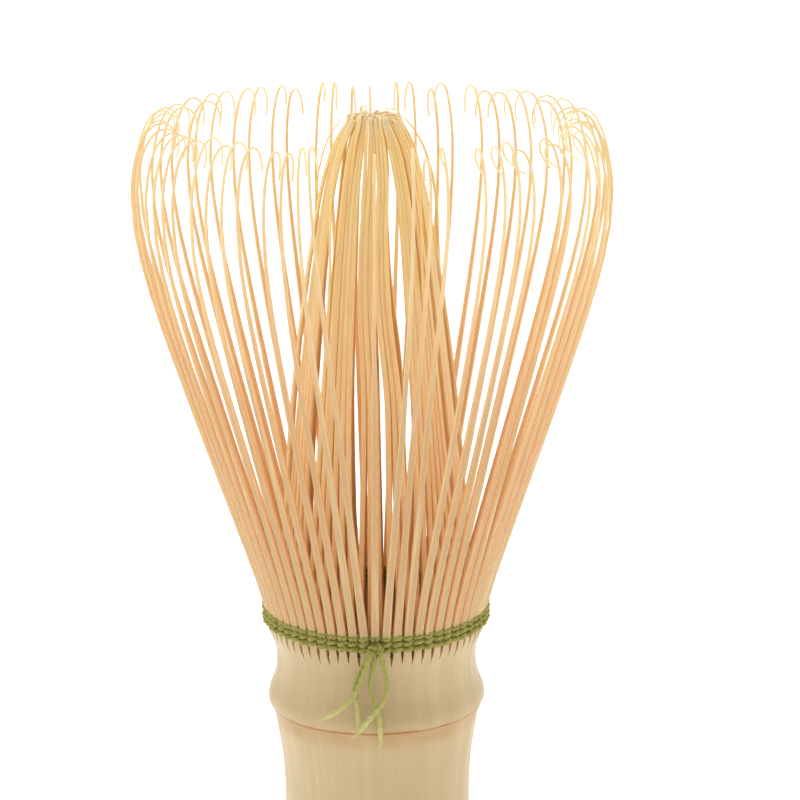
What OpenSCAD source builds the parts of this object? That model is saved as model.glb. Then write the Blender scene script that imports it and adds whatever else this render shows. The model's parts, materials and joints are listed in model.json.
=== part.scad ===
// Bamboo tea whisk (chasen): one bamboo culm split into a crown of fine tines, bound with a thread.
// The origin is the centre of the handle's flat base, +Z runs up to the tips, and -Y is the knot side.

/* [Handle] */
// Radius of the straight grip
grip_r = 11.6; // [11.2:0.1:12.2]
// Height of the widest line of the culm's node ridge
ridge_z = 44.8; // [43:0.2:46]
// Radius of the culm's natural hollow, open at the base
hollow_r = 8.2; // [7:0.1:9]
// Depth of the hollow, from the base to the natural partition inside the node
hollow_depth = 41.5; // [30:0.5:42]
// Thickness of the natural partition
partition_t = 2.0; // [1.5:0.1:3]

/* [Tines] */
// Number of primary splits of the culm, each a group of tines that flexes together
groups = 16; // [16]
// Outer tines in each group, and as many inner tines between them
tines_per_group = 4; // [3:1:4]
// Height where the slits between the tines begin
slit_z = 53.0; // [52:0.1:53.5]
// Width of an outer tine at its root
outer_root_w = 0.95; // [0.8:0.01:0.98]
// Width of an outer tine near its tip
outer_tip_w = 0.24; // [0.2:0.01:0.35]
// Length of an outer tine above the binding
outer_len = 69.4; // [67:0.1:70]
// Width of an inner tine at its root
inner_root_w = 0.62; // [0.5:0.01:0.7]
// Width of an inner tine near its tip
inner_tip_w = 0.2; // [0.16:0.01:0.22]
// Length of an inner tine above the binding
inner_len = 61.0; // [58:0.1:61.5]

/* [Binding] */
// Number of rounds that the binding thread makes
thread_rounds = 3; // [2:1:3]
// Thickness of a wound round of thread
thread_d = 0.68; // [0.6:0.02:0.7]
// Thickness of the thread's loose ends
tail_d = 0.56; // [0.4:0.02:0.6]

/* [Hidden] */
bamboo_pale = [0.93, 0.84, 0.66];
bamboo_gold = [0.91, 0.74, 0.47];
bamboo_deep = [0.84, 0.64, 0.38];
thread_green = [0.50, 0.60, 0.22];

tines = groups * tines_per_group;
pitch = 360 / tines;

// Heights at the binding: rounds below bind_top, the stubs end there and the free tines start at root_z
bind_top = 56.85;
split_gap = 0.15;
root_z = bind_top + split_gap;
hinge_z = bind_top + split_gap / 2;
bind_bottom = bind_top - thread_rounds * thread_d;

// Radii of the two rings of tines at the binding
outer_root_r = grip_r + 1.8;
inner_root_r = grip_r + 0.15;
outer_half_t = 0.44;
inner_half_t = 0.34;
tip_half_t = 0.09;

// Radii of the binding's ring, which passes outside, between and behind the outer tines
bind_r = grip_r + 2.55;
bind_inner_r = inner_root_r + inner_half_t + 0.12;
window_margin = 0.06;
window_skin = 0.2;

// Shape of the free tines: angles from vertical, and lengths along the tine
flare_deg = 18.8;
flare_start_deg = 7;
flare_start_len = 2;
shoulder_deg = 80;
shoulder_at = 60.7;
shoulder_len = 6;
hook_deg = 160;
hook_at = 64.9;
hook_len = 1.7;
straight_len = 56;
lean_start_deg = 2.9;
lean_more_deg = 6.5;
crown_deg = 28;
crown_power = 16.4;
crown_len = 60;
rim_r = 28;
rim_h = 60;

// A repeatable irregularity from -1 to 1 for tine number i
function vary(i, salt) = ((i * i * 7 + i * 31 + salt * 47) % 97) / 48 - 1;

// Radius of the culm's skin at height z, from the grip over the ridge to the waist under the tines
function bell(z, w) = exp(-pow((z - ridge_z) / w, 2));
function below_ridge(z) = grip_r + 1.25 * bell(z, 6.3) + 0.67 * bell(z, 1.5);
function above_ridge(z) = grip_r + 0.78 + 1.14 * bell(z, 2.4) + 0.07 * pow(max(0, z - ridge_z - 5.2), 2);
function skin_r(z) = z < ridge_z ? below_ridge(z) : above_ridge(z);

// A closed band around a centreline, thick at its root and thin at its tip
function band(line, angles, t0, t1) = let (n = len(angles)) concat(
    [for (i = [0:n]) let (a = angles[min(i, n - 1)], t = t0 + (t1 - t0) * i / n)
        line[i] + t * [cos(a), -sin(a)]],
    [for (i = [n:-1:0]) let (a = angles[min(i, n - 1)], t = t0 + (t1 - t0) * i / n)
        line[i] - t * [cos(a), -sin(a)]]);

// A smooth step from 0 to 1 around a place along the tine
function step_at(s, place, width) = 1 / (1 + exp(-(s - place) / width));

// Angle from vertical at length s along an outer and an inner tine
function outer_angle(s, flare, hook) = flare - flare_start_deg * exp(-s / flare_start_len)
    - shoulder_deg * step_at(s, shoulder_at, shoulder_len) - hook * step_at(s, hook_at, hook_len);
function inner_angle(s) = -lean_start_deg - lean_more_deg * s / crown_len
    - crown_deg * pow(s / crown_len, crown_power);

// Distances along the tine where its centreline is bent: long steps first, short ones in the curl
long_steps = 8;
outer_steps = 17;
function outer_s(i, length) = i < long_steps
    ? straight_len * i / long_steps
    : straight_len + (length - straight_len) * (i - long_steps) / (outer_steps - long_steps);
inner_steps = 8;
function inner_s(i, length) = length * (1 - pow(1 - i / inner_steps, 1.5));

// Centreline points for uneven steps
function follow(stations, angles, start) = [
    for (i = 0, p = start; i < len(stations);
         p = i + 1 < len(stations)
             ? p + (stations[i + 1] - stations[i]) * [sin(angles[i]), cos(angles[i])] : p,
         i = i + 1) p];

// How far tine number i is turned aside at its tip, in degrees of azimuth. The tines part at the
// front, more to the left than to the right, where they crowd, and a group's tines stay bunched
bunching = 0.12;
function signed_azimuth(i) = let (a = (i * pitch) % 360) a > 180 ? a - 360 : a;
function place_in_group(i) = i % tines_per_group - (tines_per_group - 1) / 2;
function spread(i) = let (a = signed_azimuth(i))
    (a < 0 ? -9 * exp(a / 22) : a > 0 ? 5.5 * exp(-a / 12) - 3.5 * exp(-pow((a - 62) / 24, 2)) : 0)
    - bunching * place_in_group(i) * pitch + 0.7 * vary(i, 3);

// One outer tine, standing in the plane of its azimuth, tapered in width and curled at its tip
module outer_tine(i) {
    length = outer_len + 0.5 * vary(i, 5);
    flare = flare_deg + 0.45 * vary(i, 1);
    hook = hook_deg + 18 * vary(i, 2);
    stations = [for (k = [0:outer_steps]) outer_s(k, length)];
    angles = [for (k = [0:outer_steps - 1])
        outer_angle((stations[k] + stations[k + 1]) / 2, flare, hook)];
    line = follow(stations, angles, [0, 0]);
    outline = band(line, angles, outer_half_t, tip_half_t);
    top = outer_len;
    aside = atan(spread(i) * PI / 180 * rim_r / rim_h);
    rotate([0, 0, i * pitch])
        translate([0, -outer_root_r, root_z])
            rotate([0, aside, 0])
                intersection() {
                    rotate([90, 0, -90])
                        translate([0, 0, -outer_root_w])
                            linear_extrude(2 * outer_root_w)
                                polygon(outline);
                    rotate([90, 0, 0])
                        translate([0, 0, -top])
                            linear_extrude(2 * top)
                                taper(outer_root_w, outer_tip_w, 52, top);
                }
}

// One inner tine, leaning in to the crown of the centre bundle
module inner_tine(i) {
    length = inner_len + 0.6 * vary(i, 6);
    stations = [for (k = [0:inner_steps]) inner_s(k, length)];
    angles = [for (k = [0:inner_steps - 1])
        inner_angle((stations[k] + stations[k + 1]) / 2)];
    line = follow(stations, angles, [0, 0]);
    outline = band(line, angles, inner_half_t, tip_half_t);
    rotate([0, 0, (i + 0.5) * pitch])
        translate([0, -inner_root_r, root_z])
            intersection() {
                rotate([90, 0, -90])
                    translate([0, 0, -inner_root_w])
                        linear_extrude(2 * inner_root_w)
                            polygon(outline);
                rotate([90, 0, 0])
                    translate([0, 0, -inner_len])
                        linear_extrude(2 * inner_len)
                            taper(inner_root_w, inner_tip_w, 56, inner_len + 2);
            }
}

// A blade outline that narrows from its root to a height and stays narrow above it
module taper(root_w, tip_w, narrow_z, top) {
    polygon([[-root_w / 2, 0], [root_w / 2, 0], [tip_w / 2, narrow_z], [tip_w / 2, top],
             [-tip_w / 2, top], [-tip_w / 2, narrow_z]]);
}

// Group g of outer tines: its tines lie around the group's own azimuth
module outer_group(g) {
    color(bamboo_gold)
        for (k = [0:tines_per_group - 1])
            outer_tine((g - 1) * tines_per_group + k);
}

// Group g of inner tines
module inner_group(g) {
    color(bamboo_deep)
        for (k = [0:tines_per_group - 1])
            inner_tine((g - 1) * tines_per_group + k);
}

// A slit cutter that points outward at azimuth 0, with a pointed lower end
module slit(width, low_z, r0, r1) {
    rotate([90, 0, 0])
        translate([0, 0, r0])
            linear_extrude(r1 - r0)
                polygon([[0, low_z], [width / 2, low_z + 1.2], [width / 2, root_z + 1],
                         [-width / 2, root_z + 1], [-width / 2, low_z + 1.2]]);
}

// The culm: grip, node ridge, waist and the roots of all the tines, in one piece of bamboo
module handle() {
    outer_face = outer_root_r + outer_half_t - 0.22;
    outer_back = outer_root_r - outer_half_t - 0.05;
    inner_face = inner_root_r + inner_half_t;
    inner_back = inner_root_r - inner_half_t;
    edge = 0.7;
    upper_floor = hollow_depth + partition_t;
    outer_gap = 2 * PI * outer_root_r / tines - outer_root_w;
    inner_gap = 2 * PI * inner_root_r / tines - inner_root_w;
    color(bamboo_pale)
        difference() {
            rotate_extrude($fn = 96)
                polygon(concat(
                    [[hollow_r - 1, 0], [grip_r - edge, 0], [grip_r - 0.2, 0.2], [grip_r, edge]],
                    [for (z = [30:2:38]) [skin_r(z), z]],
                    [for (z = [39:1:42]) [skin_r(z), z]],
                    [for (z = [42.8:0.5:slit_z + 1]) [skin_r(z), z]],
                    [[outer_face - 0.1, bind_bottom], [outer_face, bind_top],
                     [inner_back, bind_top], [inner_back - 1.6, upper_floor + 2],
                     [inner_back - 2.6, upper_floor], [0, upper_floor],
                     [0, hollow_depth], [hollow_r - 1, hollow_depth]]));
            translate([0, 0, -1])
                cylinder(r = hollow_r, h = hollow_depth + 1, $fn = 96);
            rotate_extrude($fn = 96)
                polygon([[inner_face, slit_z + 0.8], [outer_back, slit_z + 0.8],
                         [outer_back, root_z + 1], [inner_face, root_z + 1]]);
            for (i = [0:tines - 1]) {
                rotate([0, 0, (i + 0.5) * pitch])
                    slit(outer_gap, slit_z + 0.35 * vary(i, 4), outer_back - 0.2, bind_r + 1);
                rotate([0, 0, i * pitch])
                    slit(inner_gap, slit_z + 0.2, inner_back - 2, outer_back - 0.1);
            }
        }
}

// The binding: rounds of thread around the outer tines, with a window for each tine
module binding_thread() {
    window_in = outer_root_r - outer_half_t - 0.05 - window_margin;
    window_out = bind_r - window_skin;
    color(thread_green)
        difference() {
            rotate_extrude($fn = 96)
                for (n = [0:thread_rounds - 1])
                    translate([0, bind_bottom + (n + 0.5) * thread_d])
                        bead();
            for (i = [0:tines - 1])
                rotate([0, 0, i * pitch])
                    translate([-outer_root_w / 2 - window_margin, -window_out, bind_bottom - 1])
                        cube([outer_root_w + 2 * window_margin, window_out - window_in, 4]);
        }
}

// Section of one round: thread in front of the tines and behind them, joined across the gaps
module bead() {
    translate([bind_r - thread_d / 2, 0])
        circle(d = thread_d, $fn = 24);
    translate([bind_inner_r, -thread_d / 2])
        square([bind_r - thread_d / 2 - bind_inner_r, thread_d]);
}

// Where the ends of the thread hang: the knot stands on the binding's front
knot_z = 55.5;
knot_loop_r = 0.5;
knot_y = -(bind_r + knot_loop_r + tail_d / 2 + 0.05);

module thread_knot() {
    color(thread_green)
        translate([0, knot_y, knot_z])
            rotate([0, 90, 0])
                rotate_extrude($fn = 48)
                    translate([knot_loop_r, 0])
                        circle(d = tail_d, $fn = 24);
}

// Routes of the four loose ends, from the knot down over the waist to the ridge
left_route = [[-0.9, -14.9, 54.6], [-1.7, -14.8, 53.2], [-2.3, -14.6, 51.8], [-2.5, -14.4, 50.2],
              [-2.2, -14.3, 48.6], [-2.1, -14.3, 47.0], [-2.0, -14.4, 45.4]];
branch_route = [[-0.8, -15.7, 54.6], [-1.5, -15.6, 52.6], [-2.2, -15.4, 50.8], [-3.2, -15.1, 49.2],
                [-4.6, -14.6, 47.8], [-6.3, -13.9, 46.6]];
centre_route = [[-0.1, -14.9, 54.4], [-0.5, -14.7, 52.4], [-0.6, -14.5, 50.6], [-0.2, -14.4, 48.8],
                [0.4, -14.4, 47.0], [0.5, -14.4, 45.4], [0.6, -14.4, 43.9]];
right_route = [[0.8, -15.1, 54.6], [1.2, -15.4, 52.8], [1.3, -15.6, 51.0], [0.8, -15.6, 49.2],
               [-0.2, -15.5, 47.8], [-1.1, -15.4, 46.6], [-2.0, -15.2, 45.3]];

// A round tube swept along a route of points
tube_sides = 8;
function unit(v) = v / norm(v);
function heading(route, i) =
    unit(route[min(i + 1, len(route) - 1)] - route[max(i - 1, 0)]);
function ring(route, i, r) = let (
    t = heading(route, i),
    u = unit(cross(t, [0, 1, 0])),
    v = cross(t, u))
    [for (k = [0:tube_sides - 1]) let (a = 360 * k / tube_sides)
        route[i] + r * (cos(a) * u + sin(a) * v)];

module tail(route) {
    n = len(route);
    points = [for (i = [0:n - 1]) each ring(route, i, tail_d / 2)];
    sides = [for (i = [0:n - 2], k = [0:tube_sides - 1]) let (
        m = (k + 1) % tube_sides,
        a = i * tube_sides,
        b = a + tube_sides)
        each [[a + k, a + m, b + m], [a + k, b + m, b + k]]];
    first = [for (k = [tube_sides - 1:-1:0]) k];
    last = [for (k = [0:tube_sides - 1]) (n - 1) * tube_sides + k];
    color(thread_green)
        polyhedron(points, concat(sides, [first, last]));
}

module thread_tail_left() { tail(left_route); }
module thread_tail_branch() { tail(branch_route); }
module thread_tail_centre() { tail(centre_route); }
module thread_tail_right() { tail(right_route); }

function two_digits(g) = str(g < 10 ? "0" : "", g);
OUTER = [for (g = [1:groups]) str("outer_tines_", two_digits(g))];
INNER = [for (g = [1:groups]) str("inner_tines_", two_digits(g))];

handle();
binding_thread();
thread_knot();
thread_tail_left();
thread_tail_branch();
thread_tail_centre();
thread_tail_right();
for (g = [1:groups]) {
    outer_group(g);
    inner_group(g);
}
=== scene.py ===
import json
import math

import bpy
from mathutils import Matrix, Vector


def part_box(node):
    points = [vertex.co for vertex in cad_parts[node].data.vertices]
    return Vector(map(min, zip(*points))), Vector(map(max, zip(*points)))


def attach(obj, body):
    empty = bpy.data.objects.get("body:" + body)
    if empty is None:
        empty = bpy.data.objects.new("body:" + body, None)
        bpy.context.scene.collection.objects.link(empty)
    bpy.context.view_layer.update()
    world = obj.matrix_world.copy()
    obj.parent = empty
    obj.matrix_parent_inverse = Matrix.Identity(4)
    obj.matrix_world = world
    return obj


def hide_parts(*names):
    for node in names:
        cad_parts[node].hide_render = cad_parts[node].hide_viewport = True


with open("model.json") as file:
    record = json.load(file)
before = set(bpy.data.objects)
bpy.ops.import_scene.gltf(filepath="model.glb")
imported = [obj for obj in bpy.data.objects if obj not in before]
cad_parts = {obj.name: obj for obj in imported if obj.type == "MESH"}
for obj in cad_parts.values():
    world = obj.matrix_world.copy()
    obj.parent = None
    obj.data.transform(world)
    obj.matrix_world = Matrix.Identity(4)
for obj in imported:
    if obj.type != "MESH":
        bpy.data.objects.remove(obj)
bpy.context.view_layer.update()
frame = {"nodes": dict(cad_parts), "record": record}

# Lengths below are in millimetres and angles in degrees; meshes are made in metres.
MM = 0.001


def body_joint(name):
    """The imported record's joint of that name."""
    return next(j for j in frame["record"]["behaviour"]["joints"] if j["name"] == name)


# ---- Driving dimensions, read from the frame ----
GROUPS = sum(name.startswith("outer_tines_") for name in frame["nodes"])
PER_GROUP = 4
TINES = GROUPS * PER_GROUP
PITCH = 360 / TINES
_outer_hinge = body_joint("outer_flex_01")["pos_m"]
_inner_hinge = body_joint("inner_flex_01")["pos_m"]
OUTER_R = math.hypot(_outer_hinge[0], _outer_hinge[1]) / MM
INNER_R = math.hypot(_inner_hinge[0], _inner_hinge[1]) / MM
BIND_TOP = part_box("handle")[1][2] / MM
BIND_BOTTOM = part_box("binding_thread")[0][2] / MM
BIND_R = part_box("binding_thread")[1][0] / MM
SPLIT_GAP = 0.15
ROOT_Z = BIND_TOP + SPLIT_GAP
GRIP_R = OUTER_R - 1.8

# ---- The culm: OUTER_T and INNER_T are half the thickness of the tines' roots ----
RIDGE_Z = 44.8
SCAR_Z = 44.15
SLIT_Z = 53.0
HOLLOW_R = 8.2
HOLLOW_DEPTH = 41.5
PARTITION_T = 2.0
OUTER_T = 0.44
INNER_T = 0.34
BASE_EDGE = 0.7
CULM_SIDES = 256

# ---- Tines: (distance above the binding, size) along each kind ----
OUTER_W = ((0, 0.95), (50, 0.38), (62, 0.3), (69, 0.2))
OUTER_THICK = ((0, 0.88), (62, 0.22), (69, 0.15))
INNER_W = ((0, 0.62), (20, 0.67), (42, 0.62), (55, 0.45), (60.5, 0.33), (64, 0.17))
INNER_THICK = ((0, 0.68), (58, 0.24), (64, 0.12))
# How far the tines' roots reach down in to the culm, and the rim that the tips make.
TUCK = 0.6
RIM_R = 28.0
RIM_H = 60.0


def vary(i, salt):
    """A repeatable irregularity from -1 to 1 for tine number i."""
    return ((i * i * 7 + i * 31 + salt * 47) % 97) / 48 - 1


def step_at(s, place, width):
    """A smooth step from 0 to 1 around a place along the tine."""
    return 1 / (1 + math.exp(-(s - place) / width))


def smooth(x):
    """0 below 0, 1 above 1, and an even curve between."""
    x = min(1, max(0, x))
    return x * x * (3 - 2 * x)


def bump(x, centre, width):
    """A bell of height 1 at centre."""
    return math.exp(-((x - centre) / width) ** 2)


def size_at(table, s):
    """Straight-line values between the (place, size) pairs of a table."""
    for (a, low), (b, high) in zip(table, table[1:]):
        if s <= b:
            return low + (high - low) * max(0, s - a) / (b - a)
    return table[-1][1]


def signed_azimuth(i):
    """Azimuth of outer tine i, from -180 to 180 degrees from the front."""
    a = (i * PITCH) % 360
    return a - 360 if a > 180 else a


# ---- Vectors as plain tuples ----
def add(a, b, k=1.0):
    return tuple(x + k * y for x, y in zip(a, b))


def dot(a, b):
    return sum(x * y for x, y in zip(a, b))


def cross(a, b):
    return (a[1] * b[2] - a[2] * b[1], a[2] * b[0] - a[0] * b[2], a[0] * b[1] - a[1] * b[0])


def unit(a):
    n = math.sqrt(dot(a, a)) or 1.0
    return tuple(x / n for x in a)


def around(azimuth, r, z, aside=0.0):
    """A point at an azimuth from the front, r from the axis and aside to its left."""
    a = math.radians(azimuth)
    return (r * math.sin(a) + aside * math.cos(a), -r * math.cos(a) + aside * math.sin(a), z)


class Skin:
    """Vertices, faces and the two attributes that the materials read, for one piece.

    grain is (across, through, along) in millimetres, and look is (reach, tone, rind): how far along
    from 0 to 1, the strand's own shade from 0 to 1, and 1 where the outer rind of the culm shows."""

    def __init__(self):
        self.points = []
        self.faces = []
        self.grain = []
        self.look = []

    def tube(self, rings, grains, looks):
        """Joins rings of points into a closed tube with capped ends."""
        start = len(self.points)
        sides = len(rings[0])
        for ring, grain, look in zip(rings, grains, looks):
            self.points += ring
            self.grain += grain
            self.look += look
        for j in range(len(rings) - 1):
            a = start + j * sides
            b = a + sides
            for k in range(sides):
                m = (k + 1) % sides
                self.faces.append((a + k, a + m, b + m, b + k))
        self.faces.append(tuple(start + k for k in range(sides - 1, -1, -1)))
        last = start + (len(rings) - 1) * sides
        self.faces.append(tuple(last + k for k in range(sides)))

    def build(self, name, body, material, replaced):
        """Makes the piece, in metres, and lets it ride on its body."""
        mesh = bpy.data.meshes.new(name)
        mesh.from_pydata([tuple(c * MM for c in p) for p in self.points], [], self.faces)
        for label, values in (("grain", self.grain), ("look", self.look)):
            layer = mesh.attributes.new(label, "FLOAT_VECTOR", "POINT")
            layer.data.foreach_set("vector", [c for v in values for c in v])
        mesh.shade_smooth()
        mesh.set_sharp_from_angle(angle=math.radians(60))
        piece = bpy.data.objects.new(name, mesh)
        bpy.context.scene.collection.objects.link(piece)
        mesh.materials.append(material)
        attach(piece, body)
        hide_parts(*replaced)


# ---- Materials ----
class Paint:
    """A material: one Principled shader and the nodes that feed it."""

    def __init__(self, name, roughness, specular=0.35, subsurface=0.0, radius=(1, 0.5, 0.25)):
        self.material = bpy.data.materials.new(name)
        self.material.use_nodes = True
        self.tree = self.material.node_tree
        self.shader = self.tree.nodes["Principled BSDF"]
        self.shader.inputs["Roughness"].default_value = roughness
        self.shader.inputs["Specular IOR Level"].default_value = specular
        self.shader.inputs["Subsurface Weight"].default_value = subsurface
        self.shader.inputs["Subsurface Radius"].default_value = radius
        self.shader.inputs["Subsurface Scale"].default_value = MM

    def put(self, value, socket):
        """Links a socket or sets a plain value."""
        if isinstance(value, bpy.types.NodeSocket):
            self.tree.links.new(value, socket)
        else:
            socket.default_value = value

    def node(self, kind, settings=None, **inputs):
        made = self.tree.nodes.new(kind)
        for key, value in (settings or {}).items():
            setattr(made, key, value)
        for key, value in inputs.items():
            self.put(value, made.inputs[key.replace("_", " ")])
        return made

    def attribute(self, name):
        return self.node("ShaderNodeAttribute", {"attribute_name": name}).outputs["Vector"]

    def parts(self, vector):
        out = self.node("ShaderNodeSeparateXYZ", Vector=vector).outputs
        return out["X"], out["Y"], out["Z"]

    def place(self):
        return self.node("ShaderNodeTexCoord").outputs["Object"]

    def stretch(self, vector, scale):
        made = self.node("ShaderNodeMapping", Vector=vector)
        made.inputs["Scale"].default_value = scale
        return made.outputs["Vector"]

    def noise(self, vector, detail):
        return self.node("ShaderNodeTexNoise", Vector=vector, Scale=1.0, Detail=detail,
                         Roughness=0.55).outputs["Fac"]

    def math(self, operation, a, b=0.0):
        made = self.node("ShaderNodeMath", {"operation": operation})
        self.put(a, made.inputs[0])
        self.put(b, made.inputs[1])
        return made.outputs["Value"]

    def span(self, value, low, high, to_low=0.0, to_high=1.0):
        """Carries low..high to to_low..to_high with an even curve."""
        return self.node("ShaderNodeMapRange", {"interpolation_type": "SMOOTHSTEP"}, Value=value,
                         From_Min=low, From_Max=high, To_Min=to_low,
                         To_Max=to_high).outputs["Result"]

    def mix(self, factor, a, b):
        made = self.node("ShaderNodeMix", {"data_type": "RGBA", "blend_type": "MIX"})
        self.put(factor, made.inputs[0])
        self.put(a, made.inputs[6])
        self.put(b, made.inputs[7])
        return made.outputs[2]

    def colour(self, value):
        self.put(value, self.shader.inputs["Base Color"])

    def rough(self, value):
        self.put(value, self.shader.inputs["Roughness"])

    def relief(self, height, distance, strength):
        """Bumps that are distance millimetres high."""
        made = self.node("ShaderNodeBump", Height=height, Distance=distance * MM,
                         Strength=strength)
        self.put(made.outputs["Normal"], self.shader.inputs["Normal"])


def shade(red, green, blue):
    """A colour from its 0 to 255 display values."""
    return tuple((c / 255) ** 2.2 for c in (red, green, blue)) + (1.0,)


def tine_paint(name, root, tip, inside, tip_inside):
    """Split bamboo: rind on the outer face, orange split wood elsewhere, fibres along it."""
    p = Paint(name, 0.5, specular=0.25, subsurface=0.4, radius=(1.2, 0.7, 0.35))
    reach, tone, rind = p.parts(p.attribute("look"))
    grain = p.attribute("grain")
    along = p.span(reach, 0.35, 0.98)
    face = p.mix(along, root, tip)
    wood = p.mix(along, inside, tip_inside)
    base = p.mix(rind, wood, face)
    # Painted light: each tine is made paler over its last part, to lift the crown where the folded
    # tips shade each other.
    base = p.mix(p.span(reach, 0.92, 0.98, 0.0, 0.7), base, shade(255, 234, 190))
    fibre = p.noise(p.stretch(grain, (9.0, 9.0, 0.35)), detail=4.0)
    streak = p.noise(p.stretch(grain, (2.2, 2.2, 0.06)), detail=2.0)
    mottle = p.noise(p.stretch(grain, (0.5, 0.5, 0.16)), detail=2.0)
    dark = p.mix(p.span(fibre, 0.35, 0.75, 0.0, 0.24), base, shade(186, 130, 80))
    light = p.mix(p.span(streak, 0.5, 0.8, 0.0, 0.35), dark, shade(250, 226, 178))
    toned = p.mix(p.span(tone, 0.0, 1.0, 0.0, 0.22), light, shade(206, 150, 96))
    p.colour(p.mix(p.span(mottle, 0.55, 0.8, 0.0, 0.15), toned, shade(214, 166, 108)))
    p.rough(p.span(fibre, 0.2, 0.8, 0.38, 0.62))
    p.relief(fibre, 0.03, 0.5)
    return p.material


def rind_paint():
    """The culm's rind: pale straw, fine fibres, a brown scar under the ridge, and painted shade
    under the ridge as a tan band below the scar.
    """
    p = Paint("bamboo_rind", 0.42, specular=0.35, subsurface=0.12, radius=(1.5, 0.8, 0.35))
    below, _, rind = p.parts(p.attribute("look"))
    grain = p.attribute("grain")
    fibre = p.noise(p.stretch(grain, (3.2, 3.2, 0.09)), detail=3.0)
    broad = p.noise(p.stretch(grain, (0.55, 0.55, 0.02)), detail=2.0)
    cloud = p.noise(p.stretch(grain, (0.09, 0.09, 0.05)), detail=2.0)
    nick = p.noise(p.stretch(grain, (2.4, 2.4, 0.5)), detail=1.0)
    base = p.mix(p.span(cloud, 0.3, 0.7), shade(190, 166, 123), shade(198, 176, 133))
    base = p.mix(p.span(broad, 0.35, 0.75, 0.0, 0.3), base, shade(181, 155, 111))
    base = p.mix(p.span(fibre, 0.35, 0.75, 0.0, 0.22), base, shade(168, 142, 102))
    base = p.mix(p.span(nick, 0.76, 0.84, 0.0, 0.5), base, shade(150, 112, 70))
    drift = p.noise(p.stretch(grain, (0.35, 0.35, 0.3)), detail=3.0)
    # Painted shade under the ridge: a darker tan band that fades out over about 3 mm below the scar.
    painted_ridge_shade = p.math("MULTIPLY", p.span(below, -0.15, 0.5), p.span(below, 0.8, 3.0, 1.0, 0.0))
    painted_ridge_shade = p.math("MULTIPLY", painted_ridge_shade, p.span(drift, 0.25, 0.75, 0.35, 0.75))
    base = p.mix(painted_ridge_shade, base, shade(170, 130, 76))
    edge = p.math("ABSOLUTE", p.math("ADD", below, p.span(drift, 0.3, 0.7, -0.05, 0.08)))
    halo = p.math("MULTIPLY", p.span(edge, 0.05, 0.8, 1.0, 0.0), p.span(drift, 0.3, 0.7, 0.2, 0.55))
    base = p.mix(halo, base, shade(186, 136, 76))
    line = p.math("MULTIPLY", p.span(edge, 0.0, 0.3, 1.0, 0.0), p.span(drift, 0.3, 0.65, 0.5, 0.95))
    base = p.mix(line, base, shade(140, 92, 46))
    inner = p.mix(p.span(fibre, 0.3, 0.7), shade(214, 192, 148), shade(188, 156, 108))
    p.colour(p.mix(rind, inner, base))
    p.rough(p.span(broad, 0.3, 0.7, 0.36, 0.5))
    p.relief(p.math("ADD", p.math("MULTIPLY", fibre, 0.6), broad), 0.03, 0.3)
    return p.material


def cut_paint():
    """Bamboo where it is cut across or split: dots of fibre ends, and orange split faces."""
    p = Paint("bamboo_cut", 0.65, specular=0.2, subsurface=0.15)
    place = p.place()
    dots = p.node("ShaderNodeTexVoronoi", {"feature": "F1"},
                  Vector=p.stretch(place, (1700, 1700, 40)), Scale=1.0).outputs["Distance"]
    fine = p.noise(p.stretch(place, (3000, 3000, 120)), detail=3.0)
    base = p.mix(p.span(fine, 0.3, 0.7), shade(226, 180, 132), shade(206, 152, 104))
    p.colour(p.mix(p.span(dots, 0.12, 0.3, 0.5, 0.0), base, shade(120, 74, 40)))
    p.relief(dots, 0.05, 0.4)
    return p.material


def thread_paint():
    """Twisted cotton, olive green, paler where it frays, with fine fibres over the ply."""
    p = Paint("thread_green", 0.85, specular=0.1, subsurface=0.1)
    _, tone, fray = p.parts(p.attribute("look"))
    grain = p.attribute("grain")
    fuzz = p.noise(p.stretch(grain, (9, 9, 6)), detail=4.0)
    drift = p.noise(p.stretch(grain, (0.6, 0.6, 0.25)), detail=2.0)
    base = p.mix(p.span(fuzz, 0.3, 0.7), shade(128, 122, 58), shade(176, 170, 100))
    base = p.mix(p.span(drift, 0.35, 0.7, 0.0, 0.5), base, shade(148, 146, 72))
    base = p.mix(p.math("MULTIPLY", tone, 0.6), base, shade(84, 84, 34))
    p.colour(p.mix(fray, base, shade(204, 202, 134)))
    p.relief(fuzz, 0.06, 0.6)
    return p.material


RIND = rind_paint()
CUT = cut_paint()
OUTER_PAINT = tine_paint("bamboo_outer_tine", shade(188, 163, 120), shade(246, 221, 178),
                         shade(236, 196, 146), shade(246, 215, 168))
INNER_PAINT = tine_paint("bamboo_inner_tine", shade(250, 202, 146), shade(255, 211, 140),
                         shade(250, 204, 146), shade(255, 212, 142))
THREAD = thread_paint()


# ---- Camera, light and floor ----
CAMERA_AT = (3.1, -320.0, 168.2)
CAMERA_PITCH = 15.0
CAMERA_ROLL = -0.28
CAMERA_LENS = 122.6
# Each light: name, place in metres, height of its target in metres, size in metres, power in watts.
LIGHTS = (("left", (-0.75, 0.1, 0.5), 0.07, 0.7, 1.5),
          ("right", (0.75, 0.15, 0.5), 0.07, 0.7, 1.8),
          ("above", (-0.15, 0.1, 0.9), 0.08, 0.8, 3.0))
SURROUND_LIGHT = 0.64
FLOOR_HALF = 2.5
FLOOR_GLOW = 0.55


def set_camera():
    """The camera looks down at the crown from the front."""
    data = bpy.data.cameras.new("camera")
    data.lens = CAMERA_LENS
    camera = bpy.data.objects.new("camera", data)
    bpy.context.scene.collection.objects.link(camera)
    camera.location = [c * MM for c in CAMERA_AT]
    tilt = Matrix.Rotation(math.radians(90 - CAMERA_PITCH), 3, "X")
    roll = Matrix.Rotation(math.radians(CAMERA_ROLL), 3, "Z")
    camera.rotation_euler = (tilt @ roll).to_euler()
    bpy.context.scene.camera = camera


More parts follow.
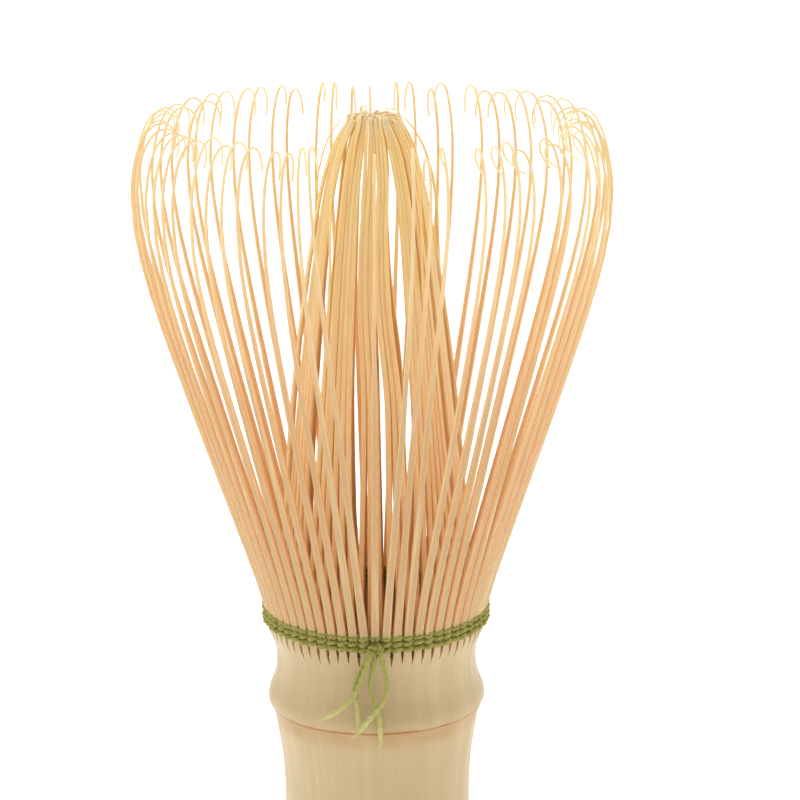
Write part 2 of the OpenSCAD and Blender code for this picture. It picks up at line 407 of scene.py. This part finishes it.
def area_light(name, place, target_height, size, power):
    """A soft square light that faces the axis of the whisk."""
    data = bpy.data.lights.new(name, "AREA")
    data.size = size
    data.energy = power
    lamp = bpy.data.objects.new(name, data)
    bpy.context.scene.collection.objects.link(lamp)
    lamp.location = place
    aim = Vector((0, 0, target_height)) - Vector(place)
    lamp.rotation_euler = aim.to_track_quat("-Z", "Y").to_euler()


def set_surround():
    """An even white surround: softer as light than it looks to the camera."""
    world = bpy.data.worlds.new("studio")
    world.use_nodes = True
    tree = world.node_tree
    back = tree.nodes["Background"]
    back.inputs["Color"].default_value = (1.0, 1.0, 1.0, 1.0)
    seen = tree.nodes.new("ShaderNodeMapRange")
    seen.inputs["To Min"].default_value = SURROUND_LIGHT
    seen.inputs["To Max"].default_value = 1.0
    tree.links.new(tree.nodes.new("ShaderNodeLightPath").outputs["Is Camera Ray"],
                   seen.inputs["Value"])
    tree.links.new(seen.outputs["Result"], back.inputs["Strength"])
    bpy.context.scene.world = world
    bpy.context.scene.view_settings.view_transform = "Standard"


def set_floor():
    """A wide white floor."""
    half = FLOOR_HALF
    mesh = bpy.data.meshes.new("floor")
    mesh.from_pydata([(-half, -half, 0), (half, -half, 0), (half, half, 0), (-half, half, 0)],
                     [], [(0, 1, 2, 3)])
    floor = bpy.data.objects.new("floor", mesh)
    bpy.context.scene.collection.objects.link(floor)
    white = bpy.data.materials.new("floor_white")
    white.use_nodes = True
    shader = white.node_tree.nodes["Principled BSDF"]
    shader.inputs["Base Color"].default_value = (0.9, 0.9, 0.9, 1)
    shader.inputs["Roughness"].default_value = 0.9
    shader.inputs["Emission Color"].default_value = (1, 1, 1, 1)
    shader.inputs["Emission Strength"].default_value = FLOOR_GLOW
    mesh.materials.append(white)


# ---- Tines ----
def outer_angle(s, flare, shoulder_at, shoulder_len, hook, hook_at, hook_len):
    """Angle from vertical of an outer tine at length s above the binding."""
    root = 7 * math.exp(-max(0, s) / 2)
    shoulder = 80 * step_at(s, shoulder_at, shoulder_len)
    return flare - root - shoulder - hook * step_at(s, hook_at, hook_len)


def inner_angle(s, crown):
    """Angle from vertical of an inner tine at length s above the binding."""
    s = max(0, s)
    return -2.9 - 7.0 * s / 60 - crown * (s / 60) ** 16.4


def walk(stations, angle, start):
    """(r, z) along a line that starts at start and heads as angle(s) says."""
    line = [start]
    for a, b in zip(stations, stations[1:]):
        heading = math.radians(angle((a + b) / 2))
        r, z = line[-1]
        line.append((r + (b - a) * math.sin(heading), z + (b - a) * math.cos(heading)))
    return line


def ribbon(skin, seed, azimuth, centre, widths, thicks, reach):
    """A thin bamboo strip along centre, with rounded corners and its rind facing outward."""
    rings, grains, looks = [], [], []
    tone = 0.5 + 0.5 * vary(seed, 12)
    side = around(azimuth, 0, 0, 1)
    last = len(centre) - 1
    length = 0.0
    for j, point in enumerate(centre):
        ahead = unit(add(centre[min(j + 1, last)], centre[max(j - 1, 0)], -1))
        face = unit(cross(side, ahead))
        across = cross(ahead, face)
        if j:
            length += math.dist(point, centre[j - 1])
        w, t = widths[j], thicks[j]
        c = 0.35 * min(w, t)
        corners = ((w, -t + c), (w, t - c), (w - c, t), (-w + c, t),
                   (-w, t - c), (-w, -t + c), (-w + c, -t), (w - c, -t))
        rings.append([add(add(point, across, x), face, y) for x, y in corners])
        grains.append([(x + 7.3 * seed, y, length + 3.1 * seed) for x, y in corners])
        looks.append([(reach[j], tone, 1.0 if k in (2, 3) else 0.0) for k in range(8)])
    skin.tube(rings, grains, looks)


def outer_spread(i):
    """How far tine i is turned aside at its tip, in degrees of azimuth.

    The tines fan out to both sides of a gap at the front."""
    a = signed_azimuth(i)
    aside = 0.0
    if a < 0:
        aside = -9 * math.exp(a / 22)
    elif a > 0:
        aside = 5.5 * math.exp(-a / 12) - 3.5 * bump(a, 62, 24)
    return aside - 0.12 * (i % PER_GROUP - 1.5) * PITCH + 0.7 * vary(i, 3)


# An outer tine is nearly straight up to here, and an inner one up to INNER_STRAIGHT.
STRAIGHT = 54.0
INNER_STRAIGHT = 56.0


def outer_tine(skin, i):
    """Outer tine i: straight flare, shoulder and a hooked tip that thins to a hair."""
    looped = 1.0 if 9 < signed_azimuth(i) < 66 else 0.0
    length = 68.0 + 0.7 * vary(i, 5) + 0.6 * looped
    flare = 18.8 + 0.45 * vary(i, 1)
    shoulder_at = 60.7 + 1.5 * looped
    shoulder_len = 6 - 1.6 * looped
    hook = 158 + 14 * vary(i, 2) + looped * (60 + 26 * vary(i, 8))
    hook_at = 64.5 + 0.5 * vary(i, 9) + 0.3 * looped
    hook_len = 1.05 + 0.25 * vary(i, 10) - 0.1 * looped
    rough = 14
    fine = 40
    stations = [-TUCK] + [STRAIGHT * k / rough for k in range(rough)]
    stations += [STRAIGHT + (length - STRAIGHT) * k / fine for k in range(fine + 1)]
    line = walk(stations, lambda s: outer_angle(s, flare, shoulder_at, shoulder_len, hook,
                                                hook_at, hook_len), (0.0, -TUCK))
    aside = math.atan(math.radians(outer_spread(i)) * RIM_R / RIM_H)
    centre, widths, thicks, reach = [], [], [], []
    for s, (r, z) in zip(stations, line):
        bow = 0.3 * vary(i, 7) * math.sin(math.pi * min(1, max(0, s) / 64)) ** 2
        curl_aside = 0.6 * vary(i, 11) * smooth((s - 62) / 7)
        x = z * math.sin(aside) + bow + curl_aside
        centre.append(around(i * PITCH, OUTER_R + r, ROOT_Z + z * math.cos(aside), x))
        widths.append(size_at(OUTER_W, s) / 2)
        thicks.append(size_at(OUTER_THICK, s) / 2)
        reach.append(max(0, s) / length)
    ribbon(skin, i, i * PITCH, centre, widths, thicks, reach)


# The inner tines stand in clumps, with gaps that face each other across the bundle. CLUMPS holds
# the tines in each, CLUMP_TURN how far it turns aside half way up, and FIRST_CLUMP its first tine.
CLUMPS = (3, 3, 7, 5, 5, 7, 3, 3, 6, 5, 6, 5, 6)
CLUMP_TURN = (-4.2, -6.2, 0, 0, 0, 0, 6.2, 4.2, 0, 0, 0, 0, 0)
FIRST_CLUMP = -2
# Where an inner tine rises again before it folds over at the crown.
RISE_AT = 60.4


def clump_of(i):
    """(middle, number) of the clump that inner tine i stands in, counted in tines."""
    place = (i - FIRST_CLUMP) % TINES
    for number, size in enumerate(CLUMPS):
        if place < size:
            return i - place + (size - 1) / 2, number
        place -= size
    raise ValueError("the clumps hold fewer tines than the whisk")


def inner_tine(skin, i):
    """Inner tine i: leans in, crowds with its clump and folds over at the crown."""
    middle, clump = clump_of(i)
    crown = 28 + 4 * vary(i, 2)
    rise = 30 + 12 * vary(i, 13)
    fold = 84 + 16 * vary(i, 17)
    fold_at = 61.4 + 0.55 * vary(i, 6)
    length = fold_at + 1.8 + 0.6 * vary(i, 15)
    stray = 1.5 if vary(i, 14) > 0.8 else 0.0
    rough = 22
    fine = 30
    stations = [-TUCK] + [INNER_STRAIGHT * k / rough for k in range(rough)]
    stations += [INNER_STRAIGHT + (length - INNER_STRAIGHT) * k / fine for k in range(fine + 1)]
    line = walk(stations, lambda s: (inner_angle(min(s, RISE_AT + 0.2), crown)
                                     + rise * step_at(s, RISE_AT, 0.2)
                                     - fold * step_at(s, fold_at, 0.15)), (-0.1, -TUCK))
    centre, widths, thicks, reach = [], [], [], []
    for s, (r, z) in zip(stations, line):
        s = max(0, s)
        pull = 0.27 * smooth(s / 28) - 0.2 * smooth((s - 50) / 9)
        group_turn = 0.4 * vary(clump, 4) * smooth(s / 35)
        group_turn += CLUMP_TURN[clump] * (smooth((s - 26) / 16) - 0.75 * smooth((s - 46) / 9))
        own_turn = 0.4 * vary(i, 8) * smooth(s / 40)
        turn = (middle - i) * PITCH * pull + group_turn + own_turn
        swell = 0.35 * vary(clump, 5) * math.sin(math.pi * min(1, s / 58)) ** 2
        swell += stray * bump(s, 53, 9)
        sink = 0.07 * vary(i, 9) * smooth(s / 25)
        sink += 0.25 * vary(i, 16) * smooth((s - 52) / 8)
        centre.append(around((i + 0.5) * PITCH + turn, INNER_R + r + swell + sink, ROOT_Z + z))
        slim = 1 - 0.45 * (stray > 0) * smooth((s - 25) / 20)
        widths.append(slim * size_at(INNER_W, s) / 2)
        thicks.append(slim * size_at(INNER_THICK, s) / 2)
        reach.append(s / length)
    ribbon(skin, i + TINES, (i + 0.5) * PITCH, centre, widths, thicks, reach)


def make_tines():
    """One piece for each group of outer and of inner tines."""
    for g in range(GROUPS):
        label = f"{g + 1:02d}"
        for kind, tine, paint in (("outer", outer_tine, OUTER_PAINT),
                                  ("inner", inner_tine, INNER_PAINT)):
            skin = Skin()
            for k in range(PER_GROUP):
                tine(skin, g * PER_GROUP + k)
            node = f"{kind}_tines_{label}"
            skin.build(f"{kind}_split_{label}", f"{kind}_group_{label}", paint,
                       (node,))


# ---- The culm ----
def skin_r(z):
    """Radius of the culm's rind at height z."""
    if z < RIDGE_Z:
        return GRIP_R + 1.25 * bump(z, RIDGE_Z, 6.3) + 0.67 * bump(z, RIDGE_Z, 1.5)
    return (GRIP_R + 0.78 + 1.14 * bump(z, RIDGE_Z, 2.4)
            + 0.07 * max(0, z - RIDGE_Z - 5.2) ** 2)


def scar_z(azimuth):
    """Height of the scar line, which wanders a little round the culm."""
    a = math.radians(azimuth)
    return SCAR_Z + 0.16 * math.sin(a + 0.6) + 0.07 * math.sin(3 * a + 2)


def row_step(z):
    """Distance to the next row of the culm's mesh: fine where the ridge and the scar are."""
    if 42 < z < 47.5:
        return 0.16
    return 0.6 if z > 36 else 2.0


def culm_outline():
    """(r, z) points of the culm's section: rind going up, root channel and floor, then hollow."""
    rind = [(GRIP_R - BASE_EDGE * (1 - math.sin(t * math.pi / 10)),
             BASE_EDGE * (1 - math.cos(t * math.pi / 10))) for t in range(6)]
    z = BASE_EDGE + 1.5
    while z < SLIT_Z + 1:
        rind.append((skin_r(z), z))
        z += row_step(z)
    outer_face = OUTER_R + OUTER_T - 0.22
    inner_back = INNER_R - INNER_T
    floor_z = HOLLOW_DEPTH + PARTITION_T
    stub_z = BIND_TOP - 0.35
    gap_z = SLIT_Z + 0.8
    rind += [(outer_face - 0.1, BIND_BOTTOM), (outer_face, stub_z)]
    inside = [(OUTER_R - OUTER_T, stub_z), (OUTER_R - OUTER_T, gap_z),
              (INNER_R + INNER_T, gap_z), (INNER_R + INNER_T, stub_z),
              (inner_back, stub_z), (inner_back - 1.6, floor_z + 2),
              (inner_back - 2.6, floor_z + 0.4), (4.0, floor_z), (0.0, floor_z + 0.3)]
    hollow = [(0.0, HOLLOW_DEPTH - 0.6), (5.0, HOLLOW_DEPTH - 0.35), (HOLLOW_R - 0.8, HOLLOW_DEPTH),
              (HOLLOW_R, HOLLOW_DEPTH - 0.8), (HOLLOW_R, 20.0), (HOLLOW_R, 0.4),
              (HOLLOW_R + 0.3, 0.0)]
    return rind, inside, hollow


def culm_mesh(name, sides):
    """The culm as a lathed mesh with slight ovality and a groove along its scar line."""
    rind, inside, hollow = culm_outline()
    outline = rind + inside + hollow
    points, faces = [], []
    for j, (r, z) in enumerate(outline):
        on_rind = 5 <= j < len(rind)
        for k in range(sides):
            azimuth = 360 * k / sides
            a = math.radians(azimuth)
            below = scar_z(azimuth) - z
            here = r
            if on_rind and z < SLIT_Z - 1:
                here += 0.05 * math.cos(2 * a + 0.8) * smooth((SLIT_Z - 1 - z) / 6)
                here -= 0.13 * bump(below, 0.0, 0.2) * (0.8 + 0.2 * math.sin(5 * a))
                here -= 0.09 * smooth(below / 0.3) * smooth((3.2 - below) / 3.2)
            points.append(around(azimuth, here, z))
    rows = len(outline)
    for j in range(rows):
        b = (j + 1) % rows
        for k in range(sides):
            m = (k + 1) % sides
            faces.append((j * sides + k, j * sides + m, b * sides + m, b * sides + k))
    mesh = bpy.data.meshes.new(name)
    mesh.from_pydata([tuple(c * MM for c in p) for p in points], [], faces)
    return mesh


def mark_culm(mesh):
    """The culm's grain and look: look is (distance below the scar, shade, 1 on the rind)."""
    grains, looks = [], []
    for vertex in mesh.vertices:
        x, y, z = (c / MM for c in vertex.co)
        azimuth = math.degrees(math.atan2(x, -y))
        on_rind = math.hypot(x, y) > GRIP_R - 0.35 and 0.3 < z < SLIT_Z + 2
        grains.append(around(azimuth, GRIP_R, z))
        looks.append((scar_z(azimuth) - z, 0.5, 1.0 if on_rind else 0.0))
    for label, values in (("grain", grains), ("look", looks)):
        layer = mesh.attributes.get(label) or mesh.attributes.new(label, "FLOAT_VECTOR", "POINT")
        layer.data.foreach_set("vector", [c for v in values for c in v])


def slit_prism(points, faces, azimuth, width, low_z, r0, r1):
    """A slit cutter between two radii, with a pointed lower end."""
    high = BIND_TOP + 1
    outline = [(0, low_z), (width / 2, low_z + 1.8), (width / 2, high), (-width / 2, high),
               (-width / 2, low_z + 1.8)]
    n = len(outline)
    start = len(points)
    for r in (r0, r1):
        points += [around(azimuth, r, z, x) for x, z in outline]
    faces.append(tuple(start + k for k in range(n - 1, -1, -1)))
    faces.append(tuple(start + n + k for k in range(n)))
    for k in range(n):
        m = (k + 1) % n
        faces.append((start + k, start + m, start + n + m, start + n + k))


def slit_cutter():
    """Every slit between the tines' roots, as one mesh."""
    points, faces = [], []
    between = (OUTER_R - OUTER_T + INNER_R + INNER_T) / 2
    outer_gap = 1.12 * (2 * math.pi * OUTER_R / TINES - OUTER_W[0][1])
    inner_gap = 2 * math.pi * INNER_R / TINES - INNER_W[0][1]
    for i in range(TINES):
        low = SLIT_Z - 0.4 + 0.35 * vary(i, 4)
        slit_prism(points, faces, (i + 0.5) * PITCH, outer_gap, low, between + 0.05, BIND_R + 1)
        slit_prism(points, faces, i * PITCH, inner_gap, SLIT_Z + 0.2, INNER_R - INNER_T - 2,
                   between - 0.05)
    mesh = bpy.data.meshes.new("slits")
    mesh.from_pydata([tuple(c * MM for c in p) for p in points], [], faces)
    return mesh


def make_culm():
    """The handle piece: the culm with its slits cut by a boolean."""
    mesh = culm_mesh("culm", CULM_SIDES)
    culm = bpy.data.objects.new("culm_handle", mesh)
    cutter = bpy.data.objects.new("slits", slit_cutter())
    for obj, paint in ((culm, RIND), (cutter, CUT)):
        bpy.context.scene.collection.objects.link(obj)
        obj.data.materials.append(paint)
    cut = culm.modifiers.new("slits", "BOOLEAN")
    cut.object = cutter
    cut.solver = "EXACT"
    cut.use_self = False
    cut.material_mode = "TRANSFER"
    bpy.context.view_layer.update()
    depsgraph = bpy.context.evaluated_depsgraph_get()
    culm.data = bpy.data.meshes.new_from_object(culm.evaluated_get(depsgraph))
    culm.modifiers.clear()
    bpy.data.objects.remove(cutter)
    mark_culm(culm.data)
    culm.data.shade_smooth()
    culm.data.set_sharp_from_angle(angle=math.radians(35))
    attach(culm, "culm")
    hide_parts("handle")


# ---- The thread ----
THREAD_ROWS = 3
ROW_PITCH = (BIND_TOP + SPLIT_GAP - BIND_BOTTOM) / THREAD_ROWS
STRAND_R = 0.33
PLY_TURN = 1.1
# Loose fibres that stand off the rounds, and fibres in each frayed end.
FUZZ = 150
FRAY = 14
FIBRE_R = 0.025
FRAY_R = 0.045
KNOT_POINTS = 60


def strand(skin, route, radius, tone, fray=None, sides=8, ply=0.16):
    """A two-ply thread along a route: its section has two lobes that turn along it."""
    rings, grains, looks = [], [], []
    n = len(route)
    length = 0.0
    side = (0.0, 0.0, 1.0)
    for j, point in enumerate(route):
        ahead = unit(add(route[min(j + 1, n - 1)], route[max(j - 1, 0)], -1))
        if j:
            length += math.dist(point, route[j - 1])
        side = unit(add(side, ahead, -dot(side, ahead)))
        across = cross(ahead, side)
        r = radius[j] if isinstance(radius, list) else radius
        ring, grain = [], []
        for k in range(sides):
            a = 2 * math.pi * k / sides
            lobe = r * (1 + ply * math.cos(2 * (a - length / PLY_TURN * math.pi)))
            ring.append(add(add(point, side, lobe * math.cos(a)), across, lobe * math.sin(a)))
            grain.append((r * math.cos(a), r * math.sin(a), length))
        rings.append(ring)
        grains.append(grain)
        pale = fray[j] if fray else 0.0
        looks.append([(j / n, tone, pale)] * sides)
    skin.tube(rings, grains, looks)


def add_fuzz(skin):
    """Short fibres that stand a little off the rounds of thread."""
    for k in range(FUZZ):
        azimuth = 360 * (k + 0.4 * vary(k, 61)) / FUZZ
        z = BIND_BOTTOM + THREAD_ROWS * ROW_PITCH * (0.5 + 0.45 * vary(k, 62))
        lean = 0.35 * vary(k, 63)
        rise = 0.3 * vary(k, 64)
        hair = []
        for t in range(5):
            stand = BIND_R - 0.12 + 0.32 * math.sin(math.pi * t / 6)
            hair.append(around(azimuth, stand, z + rise * t / 4, lean * t / 4))
        strand(skin, hair, FIBRE_R, 0.0, [0.35] * len(hair), sides=4, ply=0.0)


def make_binding():
    """Three rounds of two strands that pass in front of and behind the tines in turn."""
    skin = Skin()
    front = BIND_R - STRAND_R + 0.02
    back = OUTER_R - OUTER_T - STRAND_R - 0.02
    middle = (front + back) / 2
    reach = (front - back) / 2
    per_tine = 12
    total = TINES * per_tine
    for row in range(THREAD_ROWS):
        z0 = BIND_BOTTOM + (row + 0.5) * ROW_PITCH
        for half in (0, 1):
            route, girth = [], []
            for j in range(total):
                phase = math.pi * (j / per_tine + half)
                swing = math.cos(phase)
                wave = math.copysign(abs(swing) ** 1.3, swing)
                lift = 0.12 * math.sin(phase)
                i = round(j / per_tine)
                wobble = 0.06 * vary(i, 20 + row)
                azimuth = 360 * j / total
                route.append(around(azimuth, middle + reach * wave, z0 + lift + wobble))
                girth.append(STRAND_R * (0.84 + 0.16 * abs(swing)))
            route.append(route[0])
            girth.append(girth[0])
            strand(skin, route, girth, 0.0)
    add_fuzz(skin)
    skin.build("binding_rounds", "culm", THREAD, ("binding_thread",))


def spline(points, per_span):
    """A smooth curve through points (Catmull-Rom)."""
    out = []
    n = len(points)
    for j in range(n - 1):
        p0, p1 = points[max(j - 1, 0)], points[j]
        p2, p3 = points[j + 1], points[min(j + 2, n - 1)]
        for k in range(per_span):
            t = k / per_span
            out.append(tuple(
                0.5 * (2 * b + (c - a) * t + (2 * a - 5 * b + 4 * c - d) * t * t
                       + (3 * b - a - 3 * c + d) * t ** 3)
                for a, b, c, d in zip(p0, p1, p2, p3)))
    out.append(points[-1])
    return out


# Routes of the loose ends, as (x, y, z) from the knot to the tip.
TAIL_R = 0.29
LEFT = [(-0.6, -14.6, 55.6), (-1.1, -14.8, 54.4), (-1.7, -14.8, 53.2), (-2.3, -14.6, 51.8),
        (-2.5, -14.4, 50.2), (-2.2, -14.3, 48.6), (-2.1, -14.3, 47.0), (-2.0, -14.4, 45.4)]
BRANCH = [(-0.5, -15.0, 55.4), (-0.8, -15.7, 54.6), (-1.5, -15.6, 52.6), (-2.2, -15.4, 50.8),
          (-3.2, -15.1, 49.2), (-4.6, -14.6, 47.8), (-6.3, -13.9, 46.6)]
CENTRE = [(-0.2, -14.6, 55.4), (-0.1, -14.9, 54.4), (-0.5, -14.7, 52.4), (-0.6, -14.5, 50.6),
          (-0.2, -14.4, 48.8), (0.4, -14.4, 47.0), (0.5, -14.4, 45.4), (0.6, -14.4, 43.9)]
RIGHT = [(0.5, -14.5, 56.0), (0.8, -15.1, 54.6), (1.2, -15.4, 52.8), (1.3, -15.6, 51.0),
         (0.8, -15.6, 49.2), (-0.2, -15.5, 47.8), (-1.1, -15.4, 46.6), (-2.0, -15.2, 45.3)]


def make_tail(name, node, route, salt):
    """A loose end of the thread, with its last part frayed to separate fibres."""
    skin = Skin()
    line = spline(route, 8)
    n = len(line)
    taper = [TAIL_R * (1 - 0.45 * smooth((j / n - 0.88) / 0.12)) for j in range(n)]
    pale = [0.12 + 0.6 * smooth((j / n - 0.4) / 0.6) for j in range(n)]
    strand(skin, line, taper, 0.0, pale, ply=0.2)
    tip, before = line[-4], line[-10]
    heading = unit(add(tip, before, -1))
    side = unit(cross(heading, (0, -1, 0)))
    for k in range(FRAY):
        open_out = 0.42 * vary(k, salt)
        lean = 0.30 * vary(k, salt + 1)
        reach = 1.15 + 0.35 * vary(k, salt + 2)
        hair = []
        for t in range(6):
            u = t / 5
            point = add(tip, heading, reach * u)
            point = add(point, side, 0.12 * vary(k, salt + 3) + open_out * u * u)
            hair.append(add(point, (0, -1, 0), 0.1 * vary(k, salt + 4) + lean * u * u))
        strand(skin, hair, FRAY_R, 0.0, [0.85] * len(hair), sides=5, ply=0.0)
    skin.build(name, "culm", THREAD, (node,))


def make_knot():
    """The overhand knot that ties the thread off, as a trefoil."""
    skin = Skin()
    x0 = 0.05
    y0 = -(BIND_R + 0.45)
    z0 = (BIND_BOTTOM + BIND_TOP) / 2 - 0.35
    route = []
    for j in range(KNOT_POINTS + 1):
        t = 2 * math.pi * j / KNOT_POINTS
        x = x0 + 0.27 * (math.sin(t) + 2 * math.sin(2 * t))
        y = y0 - 0.26 * math.sin(3 * t)
        z = z0 + 0.24 * (math.cos(t) - 2 * math.cos(2 * t))
        route.append((x, y, z))
    strand(skin, route, 0.25, 0.1)
    skin.build("knot", "culm", THREAD, ("thread_knot",))


set_camera()
set_surround()
for light in LIGHTS:
    area_light(*light)
set_floor()
make_culm()
make_tines()
make_binding()
make_knot()
make_tail("tail_left", "thread_tail_left", LEFT, 30)
make_tail("tail_branch", "thread_tail_branch", BRANCH, 36)
make_tail("tail_centre", "thread_tail_centre", CENTRE, 42)
make_tail("tail_right", "thread_tail_right", RIGHT, 48)
